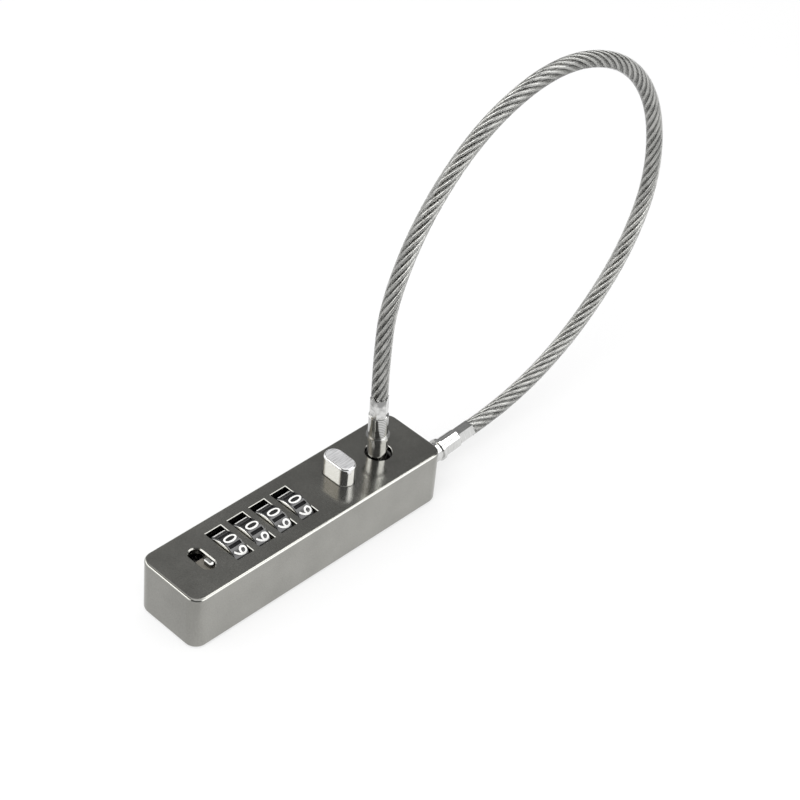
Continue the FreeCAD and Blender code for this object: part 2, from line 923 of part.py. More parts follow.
def make_terminal(label, end, groove, bored):
    # end and groove: what the names of this terminal's own sizes start with
    body = make_body(label)
    collar_low = f"{end}_pin_length"
    collar_top = f"({collar_low} + collar_thick)"
    sleeve_end = f"({collar_top} + {end}_sleeve_length)"
    groove_low, groove_radius = f"{groove}_groove_start", f"{groove}_groove_radius"
    groove_top = f"{groove_low} + {groove}_groove_long"
    if bored:
        tip = [("0", "pin_bore_deep"), ("pin_bore_radius", "pin_bore_deep"), ("pin_bore_radius", "0")]
    else:
        tip = [("0", "0")]
    profile = tip + [
        ("pin_radius - point_deep", "0"),
        ("pin_radius", "point_long"),
        ("pin_radius", groove_low),
        (groove_radius, groove_low),
        (groove_radius, groove_top),
        ("pin_radius", groove_top),
        ("pin_radius", collar_low),
        ("collar_radius", collar_low),
        ("collar_radius", collar_top),
        ("pin_radius", collar_top),
        ("sleeve_end_radius", f"{sleeve_end} - edge_cut"),
        ("neck_flats / 2", sleeve_end),
        ("0", sleeve_end),
    ]
    revolve(polygon(make_sketch(body, "XZ_Plane"), profile), "Z_Axis")
    corner = "neck_flats / sqrt(3)"
    hexagon = polygon(
        make_sketch(body, "XY_Plane", sleeve_end),
        [
            ("neck_flats / 2", f"-{corner} / 2"),
            ("neck_flats / 2", f"{corner} / 2"),
            ("0", corner),
            ("-neck_flats / 2", f"{corner} / 2"),
            ("-neck_flats / 2", f"-{corner} / 2"),
            ("0", f"-{corner}"),
        ],
    )
    pad(hexagon, f"{end}_neck_length")
    return body, val(f"{sleeve_end} + {end}_neck_length")


def make_end_clip(frame):
    # an open ring in the fixed terminal's groove
    ring = doc.addObject("Part::Cylinder", "ClipRing")
    ring.setExpression("Radius", ex("clip_radius"))
    ring.setExpression("Height", ex("clip_thick"))
    hole = doc.addObject("Part::Cylinder", "ClipHole")
    hole.setExpression("Radius", ex("clip_groove_radius + press_gap"))
    hole.setExpression("Height", ex("clip_thick"))
    mouth = doc.addObject("Part::Box", "ClipMouth")
    mouth.setExpression("Length", ex("clip_mouth"))
    mouth.setExpression("Width", ex("clip_radius"))
    mouth.setExpression("Height", ex("clip_thick"))
    mouth.setExpression("Placement.Base.x", ex("-clip_mouth / 2"))
    washer = doc.addObject("Part::Cut", "ClipWasher")
    washer.Base, washer.Tool = ring, hole
    clip = doc.addObject("Part::Cut", "end_clip")
    clip.Label = "end_clip"
    clip.Base, clip.Tool = washer, mouth
    gap = (val("clip_groove_long") - val("clip_thick")) / 2
    clip.Placement = frame * Placement(Vector(0, 0, val("clip_groove_start") + gap), Rotation())
    return clip


# Bottom cover: a plate with guide blocks for the latch, bosses for the button's springs and a
# peg for the ejector spring


def make_cover():
    body = make_body("bottom_cover")
    half_long = "(body_length / 2 - wall - cover_gap)"
    half_wide = "(body_width / 2 - wall - cover_gap)"
    corner = "corner_round - wall - cover_gap"
    pad(rounded(make_sketch(body, "XY_Plane"), half_long, half_wide, corner), "cover_thick")
    block_top = "latch_low_z - seat_gap"
    low, high = "midline - latch_width / 2", "midline + latch_width / 2"
    blocks = (
        ("frame_far_x + guide_gap", f"{tongue_near} - guide_gap"),
        (f"{tongue_near} + tongue_long + button_travel + guide_gap", f"{bar_end_x} - guide_gap"),
    )
    for near, far in blocks:
        block = rectangle(make_sketch(body, "XY_Plane", "cover_thick"), near, low, far, high)
        pad(block, f"{block_top} - cover_thick")
    for y in ("midline - button_coil_y", "midline + button_coil_y"):
        boss = circle(make_sketch(body, "XY_Plane", "cover_thick"), "button_x", y, "button_boss_radius")
        pad(boss, "button_boss_z - cover_thick")
    peg = circle(
        make_sketch(body, "XY_Plane", "cover_thick"),
        hole_x, "midline", "ejector_coil_radius - spring_wire / 2 - spring_gap",
    )
    pad(peg, "peg_height")
    for x, y in post_places:
        seat = circle(make_sketch(body, "XY_Plane"), x, y, "screw_head_radius + screw_gap")
        pocket(seat, "screw_head_thick + screw_gap")
        hole = circle(make_sketch(body, "XY_Plane"), x, y, "screw_radius + screw_gap")
        pocket(hole, "cover_thick")
    return body


def make_feature(label, shape):
    feature = doc.addObject("Part::Feature", label)
    feature.Label = label
    feature.Shape = shape
    return feature


def make_screws():
    # four equal screws, heads flush with the underside
    solids = []
    for x, y in post_places:
        foot = Vector(val(x), val(y), 0)
        head = Part.makeCylinder(val("screw_head_radius"), val("screw_head_thick"), foot)
        shank = Part.makeCylinder(val("screw_radius"), val("screw_length"), foot)
        solids.append(head.fuse(shank).removeSplitter())
    return make_feature("cover_screws", Part.makeCompound(solids))


def coil(length, radius, turns):
    # a helical spring of square wire along +Z from the origin, flush at both ends
    wire = val("spring_wire")
    inner, outer = radius - wire / 2, radius + wire / 2
    climb = length - wire
    path = Part.makeHelix(climb / turns, climb, radius)
    path.translate(Vector(0, 0, wire / 2))
    corners = [
        Vector(inner, 0, 0),
        Vector(outer, 0, 0),
        Vector(outer, 0, wire),
        Vector(inner, 0, wire),
    ]
    section = Part.makePolygon(corners + corners[:1])
    return Part.Wire(path.Edges).makePipeShell([section], True, True)


def make_coil(label, start, direction, length, radius, turns):
    spring = make_feature(label, coil(length, val(radius), turns))
    spring.Placement = Placement(start, Rotation(Vector(0, 0, 1), direction))
    return spring


def make_button_springs():
    low = val("button_boss_z + spring_gap / 2")
    high = val(f"{ear_low} - spring_gap / 2")
    solids = []
    for side in (-1, 1):
        solid = coil(high - low, val("button_coil_radius"), turns=5)
        solid.translate(Vector(val("button_x"), val("midline") + side * val("button_coil_y"), low))
        solids.append(solid)
    return make_feature("button_springs", Part.makeCompound(solids))


# Rope: straight runs joined by tangent arcs, each arc as large as its two runs allow


corner_share = 0.45


def rope_path(points):
    edges = []
    radii = []
    here = points[0]
    for before, corner, after in zip(points, points[1:], points[2:]):
        back, ahead = before - corner, after - corner
        shorter = min(back.Length, ahead.Length)
        back.normalize()
        ahead.normalize()
        turn = math.pi - back.getAngle(ahead)
        reach = corner_share * shorter
        radii.append(reach / math.tan(turn / 2))
        start, end = corner + back * reach, corner + ahead * reach
        inward = back + ahead
        inward.normalize()
        centre = corner + inward * (radii[-1] / math.cos(turn / 2))
        middle = centre - inward * radii[-1]
        edges.append(Part.LineSegment(here, start).toShape())
        edges.append(Part.Arc(start, middle, end).toShape())
        here = end
    edges.append(Part.LineSegment(here, points[-1]).toShape())
    return Part.Wire(edges), radii


def rope_tube(path, start, direction, outer, inner=None):
    rim = Part.Wire(Part.makeCircle(outer, start, direction))
    solid = path.makePipeShell([rim], True, False)
    area = math.pi * outer**2
    if inner:
        hole = Part.Wire(Part.makeCircle(inner, start, direction))
        solid = solid.cut(path.makePipeShell([hole], True, False))
        area -= math.pi * inner**2
    print(f"tube volume {solid.Volume:.1f}, section times length {area * path.Length:.1f}")
    return solid


# Both ends of the rope: the plug leans in its socket and the fixed terminal rises a little
# outwards, each in line with the run of rope next to it


def laid(start, direction):
    return Placement(start, Rotation(Vector(0, 0, 1), direction))


plug, plug_length = make_terminal("plug_terminal", "plug", "plug", bored=True)
lean = math.radians(val("plug_lean"))
plug_way = Vector(-math.sin(lean), 0, math.cos(lean))
pivot = Vector(val(hole_x), val("midline"), val("plug_pivot_z"))
plug_tip = pivot + plug_way * val("plug_lift")
plug.Placement = laid(plug_tip, plug_way)

rope_start = plug_tip + plug_way * plug_length
route_corners = [
    (26.5, 0.4, 63.0),
    (36.5, 0.4, 84.5),
    (54.5, 0.3, 101.5),
    (78.5, 0.1, 108.0),
    (102.0, -0.2, 100.0),
    (117.0, -0.7, 82.5),
    (122.0, -1.2, 58.5),
    (115.0, -1.6, 38.0),
    (100.5, -2.0, 22.5),
    (84.5, -2.3, 13.0),
]
rope_end = Vector(val("body_length / 2 + rope_end_reach"), val("rope_end_y"), val("rope_end_z"))
route = [rope_start, rope_start + plug_way * val("first_run")]
route += [Vector(*corner) for corner in route_corners]
end_lean = math.radians(val("end_lean"))
end_way = Vector(math.cos(end_lean), 0, math.sin(end_lean))
route += [rope_end + end_way * val("last_run"), rope_end]

end_terminal, end_length = make_terminal("end_terminal", "end", "clip", bored=False)
end_frame = laid(rope_end - end_way * end_length, end_way)
end_terminal.Placement = end_frame
wall_middle = rope_end - end_way * ((rope_end.x - val("body_length / 2 - wall / 2")) / end_way.x)
end_hole_y, end_hole_z = round(wall_middle.y, 3), round(wall_middle.z, 3)

path, radii = rope_path(route)
rope = make_feature("wire_rope", rope_tube(path, rope_start, plug_way, val("rope_radius")))
jacket = make_feature(
    "rope_jacket",
    rope_tube(
        path, rope_start, plug_way, val("jacket_radius"), val("rope_radius + jacket_gap")
    ),
)
print("route", [tuple(round(c, 3) for c in point) for point in route])
print("rope length", round(path.Length, 1), "radii", [round(r, 1) for r in radii])

nodes = [make_housing(), make_cover(), make_screws(), make_wheel_frame(), make_detent_spring()]
for number in range(wheels):
    wheel_x = f"wheel_first_x + {number} * wheel_pitch"
    nodes.append(make_wheel(f"number_wheel_{number + 1}", wheel_x))
    nodes.append(make_sleeve(f"code_sleeve_{number + 1}", wheel_x))
nodes += [make_spindle(), make_reset_plate(), make_reset_lever()]
nodes += [make_latch(), make_button(), make_button_springs(), make_plug_socket()]
nodes += [plug, end_terminal, make_end_clip(end_frame), rope, jacket]

along = Vector(1, 0, 0)
gap = val("spring_gap / 2")
near = val(f"{last_wheel} + {sleeve_half}") + gap
far = val("frame_far_x - frame_sheet") - gap
axle = (val("midline"), val(wheel_z))
nodes.append(
    make_coil(
        "reset_spring", Vector(near, *axle), along, far - near, "reset_coil_radius", turns=2
    )
)
near = val("frame_far_x") + gap
far = val("yoke_near_x") - gap
nodes.append(
    make_coil(
        "latch_spring", Vector(near, *axle), along, far - near, "latch_coil_radius", turns=3
    )
)
low = val("cover_thick") + gap
high = (plug_tip + plug_way * val("pin_bore_deep")).z - 2 * gap
foot = Vector(val(hole_x), val("midline"), low)
nodes.append(
    make_coil("ejector_spring", foot, Vector(0, 0, 1), high - low, "ejector_coil_radius", turns=7)
)

doc.recompute()
for item in doc.Objects:
    if "Invalid" in item.State or "Error" in item.State:
        raise RuntimeError(f"{item.Label} is not in order: {item.State}")
for cut in pockets:
    if not cut.Shape.Volume < cut.BaseFeature.Shape.Volume:
        raise RuntimeError(f"a pocket in {cut.getParentGeoFeatureGroup().Label} cuts nothing")
for node in nodes:
    if node.Shape.isNull() or not node.Shape.isValid():
        raise RuntimeError(f"{node.Label} has no valid shape")
    node.Shape.exportStep(f"parts/{node.Label}.step")
    count = len(node.Shape.Solids)
    print(node.Label, count, "solids" if count > 1 else "solid", round(node.Shape.Volume, 1))
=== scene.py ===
import bpy
import math
from mathutils import Matrix, Vector


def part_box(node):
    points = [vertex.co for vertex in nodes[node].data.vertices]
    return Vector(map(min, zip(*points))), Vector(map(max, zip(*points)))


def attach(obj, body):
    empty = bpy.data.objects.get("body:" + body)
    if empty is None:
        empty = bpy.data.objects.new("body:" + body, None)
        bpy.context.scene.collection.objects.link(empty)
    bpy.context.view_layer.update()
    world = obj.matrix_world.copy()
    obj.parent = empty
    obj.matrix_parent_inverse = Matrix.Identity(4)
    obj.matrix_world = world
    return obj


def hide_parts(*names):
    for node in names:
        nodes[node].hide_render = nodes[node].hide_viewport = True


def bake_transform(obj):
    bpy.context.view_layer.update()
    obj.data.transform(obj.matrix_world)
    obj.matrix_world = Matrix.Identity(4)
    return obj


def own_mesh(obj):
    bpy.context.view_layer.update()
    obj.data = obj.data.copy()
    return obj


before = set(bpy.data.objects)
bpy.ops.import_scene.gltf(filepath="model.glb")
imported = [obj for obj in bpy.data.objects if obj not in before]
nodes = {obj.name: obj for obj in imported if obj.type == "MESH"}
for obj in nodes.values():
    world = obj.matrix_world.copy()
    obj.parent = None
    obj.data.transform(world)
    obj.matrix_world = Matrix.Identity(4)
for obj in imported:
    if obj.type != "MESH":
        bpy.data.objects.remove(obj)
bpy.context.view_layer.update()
wheelCount = 4
white = (1, 1, 1)
print("frame loaded:", len(nodes), "nodes")


# shared helpers
def clearSelection():
    if bpy.context.object and bpy.context.object.mode != "OBJECT":
        bpy.ops.object.mode_set(mode="OBJECT")
    bpy.ops.object.select_all(action="DESELECT")


def pick(piece):
    clearSelection()
    piece.select_set(True)
    bpy.context.view_layer.objects.active = piece


def addObject(name, data):
    made = bpy.data.objects.new(name, data)
    bpy.context.scene.collection.objects.link(made)
    return made


def weld(within=0.000002):
    # from edit mode: corners that meet become one and faces look outward
    bpy.ops.mesh.select_all(action="SELECT")
    bpy.ops.mesh.remove_doubles(threshold=within)
    bpy.ops.mesh.normals_make_consistent(inside=False)
    bpy.ops.object.mode_set(mode="OBJECT")


def dress(piece, finish):
    piece.data.materials.clear()
    piece.data.materials.append(finish)


# helpers for finishes
def startFinish(name):
    made = bpy.data.materials.new(name)
    made.use_nodes = True
    tree = made.node_tree
    return made, tree, tree.nodes["Principled BSDF"]


def fill(tree, target, values):
    # a socket is linked, anything else is set
    for name, value in values.items():
        socket = target.inputs[name]
        if isinstance(value, bpy.types.NodeSocket):
            tree.links.new(value, socket)
        else:
            socket.default_value = value


def addNode(tree, kind, values=None, **settings):
    made = tree.nodes.new(kind)
    for name, value in settings.items():
        setattr(made, name, value)
    fill(tree, made, values or {})
    return made


def maths(tree, operation, *values):
    made = addNode(tree, "ShaderNodeMath", dict(enumerate(values)), operation=operation)
    return made.outputs[0]


def vectorMaths(tree, operation, *values):
    made = addNode(tree, "ShaderNodeVectorMath", dict(enumerate(values)), operation=operation)
    return made.outputs["Value" if operation == "LENGTH" else "Vector"]


def objectPlace(tree):
    return addNode(tree, "ShaderNodeTexCoord").outputs["Object"]


def split(tree, place):
    return addNode(tree, "ShaderNodeSeparateXYZ", {0: place}).outputs


def noise(tree, place, scale, detail=4, **more):
    values = {"Vector": place, "Scale": scale, "Detail": detail, **more}
    return addNode(tree, "ShaderNodeTexNoise", values).outputs["Fac"]


def bumped(tree, strength, depth, height, **more):
    values = {"Strength": strength, "Distance": depth, "Height": height, **more}
    return addNode(tree, "ShaderNodeBump", values).outputs["Normal"]


def ramp(tree, source, stops):
    made = addNode(tree, "ShaderNodeValToRGB", {"Fac": source})
    band = made.color_ramp
    while len(band.elements) < len(stops):
        band.elements.new(0.5)
    for element, (place, colour) in zip(band.elements, stops):
        element.position = place
        element.color = (*colour, 1)
    return made.outputs["Color"]


def spread(tree, source, low, high, fromLow=0.3, fromHigh=0.7, **settings):
    # source between fromLow and fromHigh becomes low to high; noise mostly lies from 0.3 to 0.7
    values = {"Value": source, "From Min": fromLow, "From Max": fromHigh, "To Min": low, "To Max": high}
    return addNode(tree, "ShaderNodeMapRange", values, **settings).outputs["Result"]


def blendValue(tree, share, first, second):
    return spread(tree, share, first, second, 0.0, 1.0)


def blendColour(tree, share, first, second):
    made = addNode(tree, "ShaderNodeMix", {0: share}, data_type="RGBA")
    colours = [socket for socket in made.inputs if socket.type == "RGBA"]
    for socket, value in zip(colours, (first, second)):
        if isinstance(value, bpy.types.NodeSocket):
            tree.links.new(value, socket)
        else:
            socket.default_value = (*value, 1)
    return [socket for socket in made.outputs if socket.type == "RGBA"][0]


# where the camera stands, from the photograph's perspective
cameraSpot = {
    "place": (-0.28304, -0.273604, 0.381556),
    "azimuth": -49.16442, "elevation": 40.09443, "roll": 6.01174,
    "lens": 101.5142, "sensor": 36, "nearest": 0.01,
}

bpy.ops.object.camera_add(location=cameraSpot["place"])
camera = bpy.context.object
turn = (Matrix.Rotation(math.radians(cameraSpot["azimuth"]), 4, "Z")
        @ Matrix.Rotation(math.radians(90 - cameraSpot["elevation"]), 4, "X")
        @ Matrix.Rotation(math.radians(cameraSpot["roll"]), 4, "Z"))
camera.rotation_euler = turn.to_euler()
camera.data.lens = cameraSpot["lens"]
camera.data.sensor_width = cameraSpot["sensor"]
camera.data.clip_start = cameraSpot["nearest"]
bpy.context.scene.camera = camera
print("camera placed")


# the rope loop: clear jacket with six twisted strands round a core
loop = {
    "route": [(0.026451, 0.0004, 0.033959), (0.025855, 0.0004, 0.044963), (0.0265, 0.0004, 0.063),
              (0.0365, 0.0004, 0.0845), (0.0545, 0.0003, 0.1015), (0.0785, 0.0001, 0.108),
              (0.102, -0.0002, 0.1), (0.117, -0.0007, 0.0825), (0.122, -0.0012, 0.0585),
              (0.115, -0.0016, 0.038), (0.1005, -0.002, 0.0225), (0.0845, -0.0023, 0.013),
              (0.0684, -0.0024, 0.0084), (0.0585, -0.0024, 0.007685)],
    "steps": 34, "smoothUnder": 60,
    "jacket": 0.0021, "jacketSides": 28, "core": 0.00053, "coreSides": 8,
    "strands": 6, "strand": 0.00049, "offset": 0.00101, "lay": 0.0186,  # lay: length of one turn
    "wires": 7, "wireSides": 4, "wireDepth": 0.00007, "wireLay": -0.0085,  # wires turn the other way
}


def readRoute(points, steps):
    line = bpy.data.curves.new("ropeRoute", "CURVE")
    line.dimensions = "3D"
    spline = line.splines.new("NURBS")
    spline.points.add(len(points) - 1)
    for point, place in zip(spline.points, points):
        point.co = (*place, 1)
    spline.order_u = 3
    spline.use_endpoint_u = True
    line.resolution_u = steps
    holder = addObject("ropeRoute", line)
    bpy.context.view_layer.update()
    read = bpy.data.meshes.new_from_object(holder)
    places = [v.co.copy() for v in read.vertices]
    bpy.data.objects.remove(holder)
    return places


def framesAlong(places):
    # at each point: place, two sides square to the line, the way ahead and the length so far
    # the sides turn as little as they can along the line
    frames = []
    side = Vector((0, 1, 0))
    run = 0
    for i, place in enumerate(places):
        ahead = (places[min(i + 1, len(places) - 1)] - places[max(i - 1, 0)]).normalized()
        side = (side - ahead * side.dot(ahead)).normalized()
        if i:
            run += (place - places[i - 1]).length
        frames.append((place, side.copy(), ahead.cross(side), ahead, run))
    return frames


def tube(frames, sides, radiusAt, corners, faces, wrap):
    # one closed tube added to the lists; wrap gets (length in mm, share round) for each corner
    start = len(corners)
    for place, side, over, ahead, run in frames:
        for k in range(sides):
            angle = 2 * math.pi * k / sides
            radius = radiusAt(angle, run)
            corners.append(place + side * (radius * math.cos(angle))
                           + over * (radius * math.sin(angle)))
            wrap.append((run * 1000, k / sides))
    for i in range(len(frames) - 1):
        for k in range(sides):
            a, b = start + i * sides + k, start + i * sides + (k + 1) % sides
            faces.append((a, b, b + sides, a + sides))
    faces.append(tuple(start + k for k in reversed(range(sides))))
    last = start + (len(frames) - 1) * sides
    faces.append(tuple(last + k for k in range(sides)))


def addTubes(name, corners, faces, wrap):
    mesh = bpy.data.meshes.new(name)
    mesh.from_pydata(corners, [], faces)
    layer = mesh.uv_layers.new(name="along")
    for face in mesh.polygons:
        rounds = [wrap[mesh.loops[i].vertex_index] for i in face.loop_indices]
        # a face that closes the round runs on past 1 instead of back to 0
        seam = max(r[1] for r in rounds) - min(r[1] for r in rounds) > 0.5
        for i, (length, share) in zip(face.loop_indices, rounds):
            layer.data[i].uv = (length, share + (1 if seam and share < 0.5 else 0))
    piece = addObject(name, mesh)
    pick(piece)
    bpy.ops.object.shade_smooth_by_angle(angle=math.radians(loop["smoothUnder"]))
    return piece


def strandFrames(frames, index):
    # the rope's own frames moved out to one strand's helix, and leaned along it
    made = []
    lean = math.atan(2 * math.pi * loop["offset"] / loop["lay"])
    for place, side, over, ahead, run in frames:
        angle = 2 * math.pi * (run / loop["lay"] + index / loop["strands"])
        out = side * math.cos(angle) + over * math.sin(angle)
        along = over * math.cos(angle) - side * math.sin(angle)
        aim = (ahead * math.cos(lean) + along * math.sin(lean)).normalized()
        made.append((place + out * loop["offset"], out, aim.cross(out), aim, run))
    return made


def wireRound(angle, run):
    turned = angle - 2 * math.pi * run / loop["wireLay"]
    dip = 0.5 - 0.5 * math.cos(loop["wires"] * turned)
    return loop["strand"] - loop["wireDepth"] * dip


ropePath = readRoute(loop["route"], loop["steps"])
ropeFrames = framesAlong(ropePath)

corners, faces, wrap = [], [], []
tube(ropeFrames, loop["jacketSides"], lambda angle, run: loop["jacket"], corners, faces, wrap)
jacket = addTubes("clear_jacket", corners, faces, wrap)

corners, faces, wrap = [], [], []
for index in range(loop["strands"]):
    tube(strandFrames(ropeFrames, index), loop["wires"] * loop["wireSides"], wireRound,
         corners, faces, wrap)
tube(ropeFrames, loop["coreSides"], lambda angle, run: loop["core"], corners, faces, wrap)
strands = addTubes("rope_strands", corners, faces, wrap)

for piece, node in ((jacket, "rope_jacket"), (strands, "wire_rope")):
    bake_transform(piece)
    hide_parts(node)


# white numbers rolled round the wheels
digits = {
    "height": 0.00365, "width": 0.0022, "shift": 0.0002, "lift": 0.00004,
    "step": 36, "cuts": 7,  # degrees from one to the next, and cuts across each so that it can bend
    "fineness": 4, "block": 0.05, "narrow": 0.35,  # a figure slimmer than this, the 1, isn't widened
}


def makeDigit(digit, middle, radius):
    # the flat figure, made solid, cut into strips and rolled round the wheel
    clearSelection()
    bpy.ops.object.text_add(location=(0, 0, 0))
    figure = bpy.context.object
    figure.data.body = str(digit)
    figure.data.align_x = "CENTER"
    figure.data.align_y = "CENTER"
    figure.data.resolution_u = digits["fineness"]
    figure.data.extrude = digits["block"]
    bpy.ops.object.convert(target="MESH")
    figure = bpy.context.object
    low = [min(v.co[i] for v in figure.data.vertices) for i in range(3)]
    high = [max(v.co[i] for v in figure.data.vertices) for i in range(3)]
    tall = digits["height"] / (high[1] - low[1])
    slim = high[0] - low[0] < digits["narrow"]
    wide = tall if slim else digits["width"] / (high[0] - low[0])
    for v in figure.data.vertices:
        v.co = ((v.co.x - (low[0] + high[0]) / 2) * wide,
                (v.co.y - (low[1] + high[1]) / 2) * tall,
                digits["lift"] if v.co.z > 0 else -digits["lift"])
    bpy.ops.object.mode_set(mode="EDIT")
    for k in range(digits["cuts"]):
        bpy.ops.mesh.select_all(action="SELECT")
        place = digits["width"] * ((k + 1) / (digits["cuts"] + 1) - 0.5)
        bpy.ops.mesh.bisect(plane_co=(place, 0, 0), plane_no=(1, 0, 0))
    weld()
    for v in figure.data.vertices:
        angle = v.co.x / radius - math.radians(digits["step"]) * digit
        out = radius + v.co.z
        v.co = (middle.x + digits["shift"] + v.co.y,
                middle.y - out * math.sin(angle),
                middle.z + out * math.cos(angle))
    return figure


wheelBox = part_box("number_wheel_1")
wheelMiddle = (wheelBox[0] + wheelBox[1]) / 2
wheelRadius = (wheelBox[1].z - wheelBox[0].z) / 2
figures = [makeDigit(digit, wheelMiddle, wheelRadius) for digit in range(10)]
clearSelection()
for figure in figures:
    figure.select_set(True)
bpy.context.view_layer.objects.active = figures[0]
bpy.ops.object.join()
firstNumbers = bpy.context.object
firstNumbers.name = "wheel_1_numbers"
numberRings = [firstNumbers]
for n in range(2, wheelCount + 1):
    pick(firstNumbers)
    bpy.ops.object.duplicate()
    ring = bpy.context.object
    ring.name = f"wheel_{n}_numbers"
    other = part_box(f"number_wheel_{n}")
    ring.data.transform(Matrix.Translation((other[0] + other[1]) / 2 - wheelMiddle))
    numberRings.append(ring)
for n, ring in enumerate(numberRings, 1):
    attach(ring, f"wheel_{n}")
print("numbers made")


# springs and the pieces that press them; the end that stays is 0, low, or 1, high. Each spring is copied as
# a piece of its own, welded and hung on the case
pressed = {
    "latch_spring": {"joint": "latch_slide", "axis": (1, 0, 0), "end": 0, "travel": 0.0024},
    "reset_spring": {"joint": "reset_slide", "axis": (1, 0, 0), "end": 1, "travel": 0.0011},
    "button_springs": {"joint": "button_press", "axis": (0, 0, 1), "end": 0, "travel": 0.0024},
}
springs = []
for name, look in pressed.items():
    spring = addObject(f"{name}_turns", nodes[name].data.copy())
    pick(spring)
    bpy.ops.object.mode_set(mode="EDIT")
    weld()
    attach(spring, "case")
    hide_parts(name)
    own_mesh(spring)
    springs.append(spring)
print("springs set to shorten:", len(springs))


# finishes
def leaned(tree, draft):
    # upright sides lean back a little, as drawn and cast pieces have them
    way = addNode(tree, "ShaderNodeNewGeometry").outputs["Normal"]
    return vectorMaths(tree, "NORMALIZE", vectorMaths(tree, "ADD", way, (0, 0, draft)))


def onEdge(tree, here, block):
    # 1 along the rounded upper edge of a block with rounded plan corners, 0 elsewhere
    folded = vectorMaths(tree, "ABSOLUTE", vectorMaths(tree, "SUBTRACT", here, block["middle"]))
    past = vectorMaths(tree, "SUBTRACT", folded, block["straight"])
    past = vectorMaths(tree, "MAXIMUM", past, (0, 0, 0))
    reach = vectorMaths(tree, "LENGTH", vectorMaths(tree, "MULTIPLY", past, (1, 1, 0)))
    outward = maths(tree, "SUBTRACT", reach, block["corner"] - block["round"])
    upward = maths(tree, "SUBTRACT", split(tree, here)["Z"], block["top"] - block["round"])
    return spread(tree, maths(tree, "MINIMUM", outward, upward), 0.0, 1.0,
                  block["wornFrom"] * block["round"], block["wornTo"] * block["round"],
                  interpolation_type="SMOOTHSTEP")


def metal(name, look):
    # cloud: broad change of tone; grain: fine surface, drawn out along one way
    made, tree, shader = startFinish(name)
    here = objectPlace(tree)
    drawn = addNode(tree, "ShaderNodeMapping", {"Vector": here, "Scale": look["draw"]})
    cloud = noise(tree, here, look["cloud"], 3)
    grain = noise(tree, drawn.outputs["Vector"], look["grain"], Roughness=0.6)
    half = maths(tree, "MULTIPLY", maths(tree, "ADD", cloud, grain), 0.5)
    colour = ramp(tree, half, [(0.35, look["dark"]), (0.65, look["light"])])
    rough = spread(tree, half, *look["rough"])
    metallic = 1
    if "edge" in look:  # the upper edge is rubbed bright
        worn = onEdge(tree, here, look["edge"])
        colour = blendColour(tree, worn, colour, look["edge"]["bare"])
        rough = blendValue(tree, worn, rough, look["edge"]["sheen"])
    if "rings" in look:  # fine turned rings round the sleeve, scuffed flats on the neck above it
        rings = look["rings"]
        high = split(tree, here)["Z"]
        wave = maths(tree, "SINE", maths(tree, "MULTIPLY", high, 2 * math.pi / rings["pitch"]))
        ringed = ramp(tree, spread(tree, wave, 0.0, 1.0, -1, 1), [(0.3, white), (0.8, rings["dark"])])
        scuffed = ramp(tree, cloud, [(0.42, rings["scuff"]), (0.56, white)])
        onSleeve, onNeck = [spread(tree, high, 0.0, 1.0, foot, foot + rings["change"])
                            for foot in (rings["low"], rings["high"])]
        turned = blendColour(tree, onNeck, ringed, scuffed)
        colour = vectorMaths(tree, "MULTIPLY", colour, blendColour(tree, onSleeve, white, turned))
    if "cap" in look:  # the top is brushed, the sides are polished
        cap = look["cap"]
        top = maths(tree, "GREATER_THAN", split(tree, here)["Z"], cap["above"])
        stroke = tuple(cap["stroke"] * c for c in cap["colour"])
        brushed = ramp(tree, grain, [(0.35, stroke), (0.6, cap["colour"])])
        colour = blendColour(tree, top, colour, brushed)
        rough = blendValue(tree, top, rough, cap["rough"])
        metallic = blendValue(tree, top, 1, cap["metal"])
    facing = {"Normal": leaned(tree, look["draft"])} if "draft" in look else {}
    fill(tree, shader, {"Base Color": colour, "Roughness": rough, "Metallic": metallic,
                        "Normal": bumped(tree, look["bump"], look["depth"], grain, **facing)})
    return made


def coated(name, look):
    # one even coat with a little change of tone
    made, tree, shader = startFinish(name)
    haze = noise(tree, objectPlace(tree), look["haze"], look["detail"])
    fill(tree, shader, {"Base Color": ramp(tree, haze, look["tones"]),
                        "Roughness": spread(tree, haze, *look["rough"]),
                        "Normal": bumped(tree, look["bump"], look["depth"], haze), **look["extra"]})
    return made


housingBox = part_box("housing")
housingCorner = 0.0033
satinAlloy = metal("satin alloy", {
    "dark": (0.315, 0.312, 0.29), "light": (0.40, 0.396, 0.37), "rough": (0.13, 0.22),
    "cloud": 90, "grain": 2600, "draw": (1, 1, 1), "bump": 0.16, "depth": 0.00003,
    "edge": {"middle": tuple((housingBox[0] + housingBox[1]) / 2),
             "straight": (*((housingBox[1] - housingBox[0]) / 2
                            - Vector((housingCorner, housingCorner, 0)))[:2], 0),
             "corner": housingCorner, "round": 0.0007, "top": housingBox[1].z,
             "wornFrom": 0.3, "wornTo": 0.6, "bare": (0.52, 0.52, 0.49), "sheen": 0.16}})
nickel = {
    "dark": (0.60, 0.60, 0.59), "light": (0.76, 0.76, 0.75), "rough": (0.08, 0.18),
    "cloud": 180, "grain": 2700, "bump": 0.22, "depth": 0.00002}
nickelUpright = metal("turned nickel, upright", {
    **nickel, "draw": (0.08, 0.08, 1), "cloud": 420,
    "rings": {"low": 0.0220, "high": 0.0286, "change": 0.0001, "pitch": 0.00055,
              "dark": (0.42, 0.42, 0.41), "scuff": (0.5, 0.5, 0.5)}})
nickelLying = metal("turned nickel, lying", {**nickel, "draw": (1, 0.08, 0.08)})
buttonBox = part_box("button")
capDepth = 0.00004
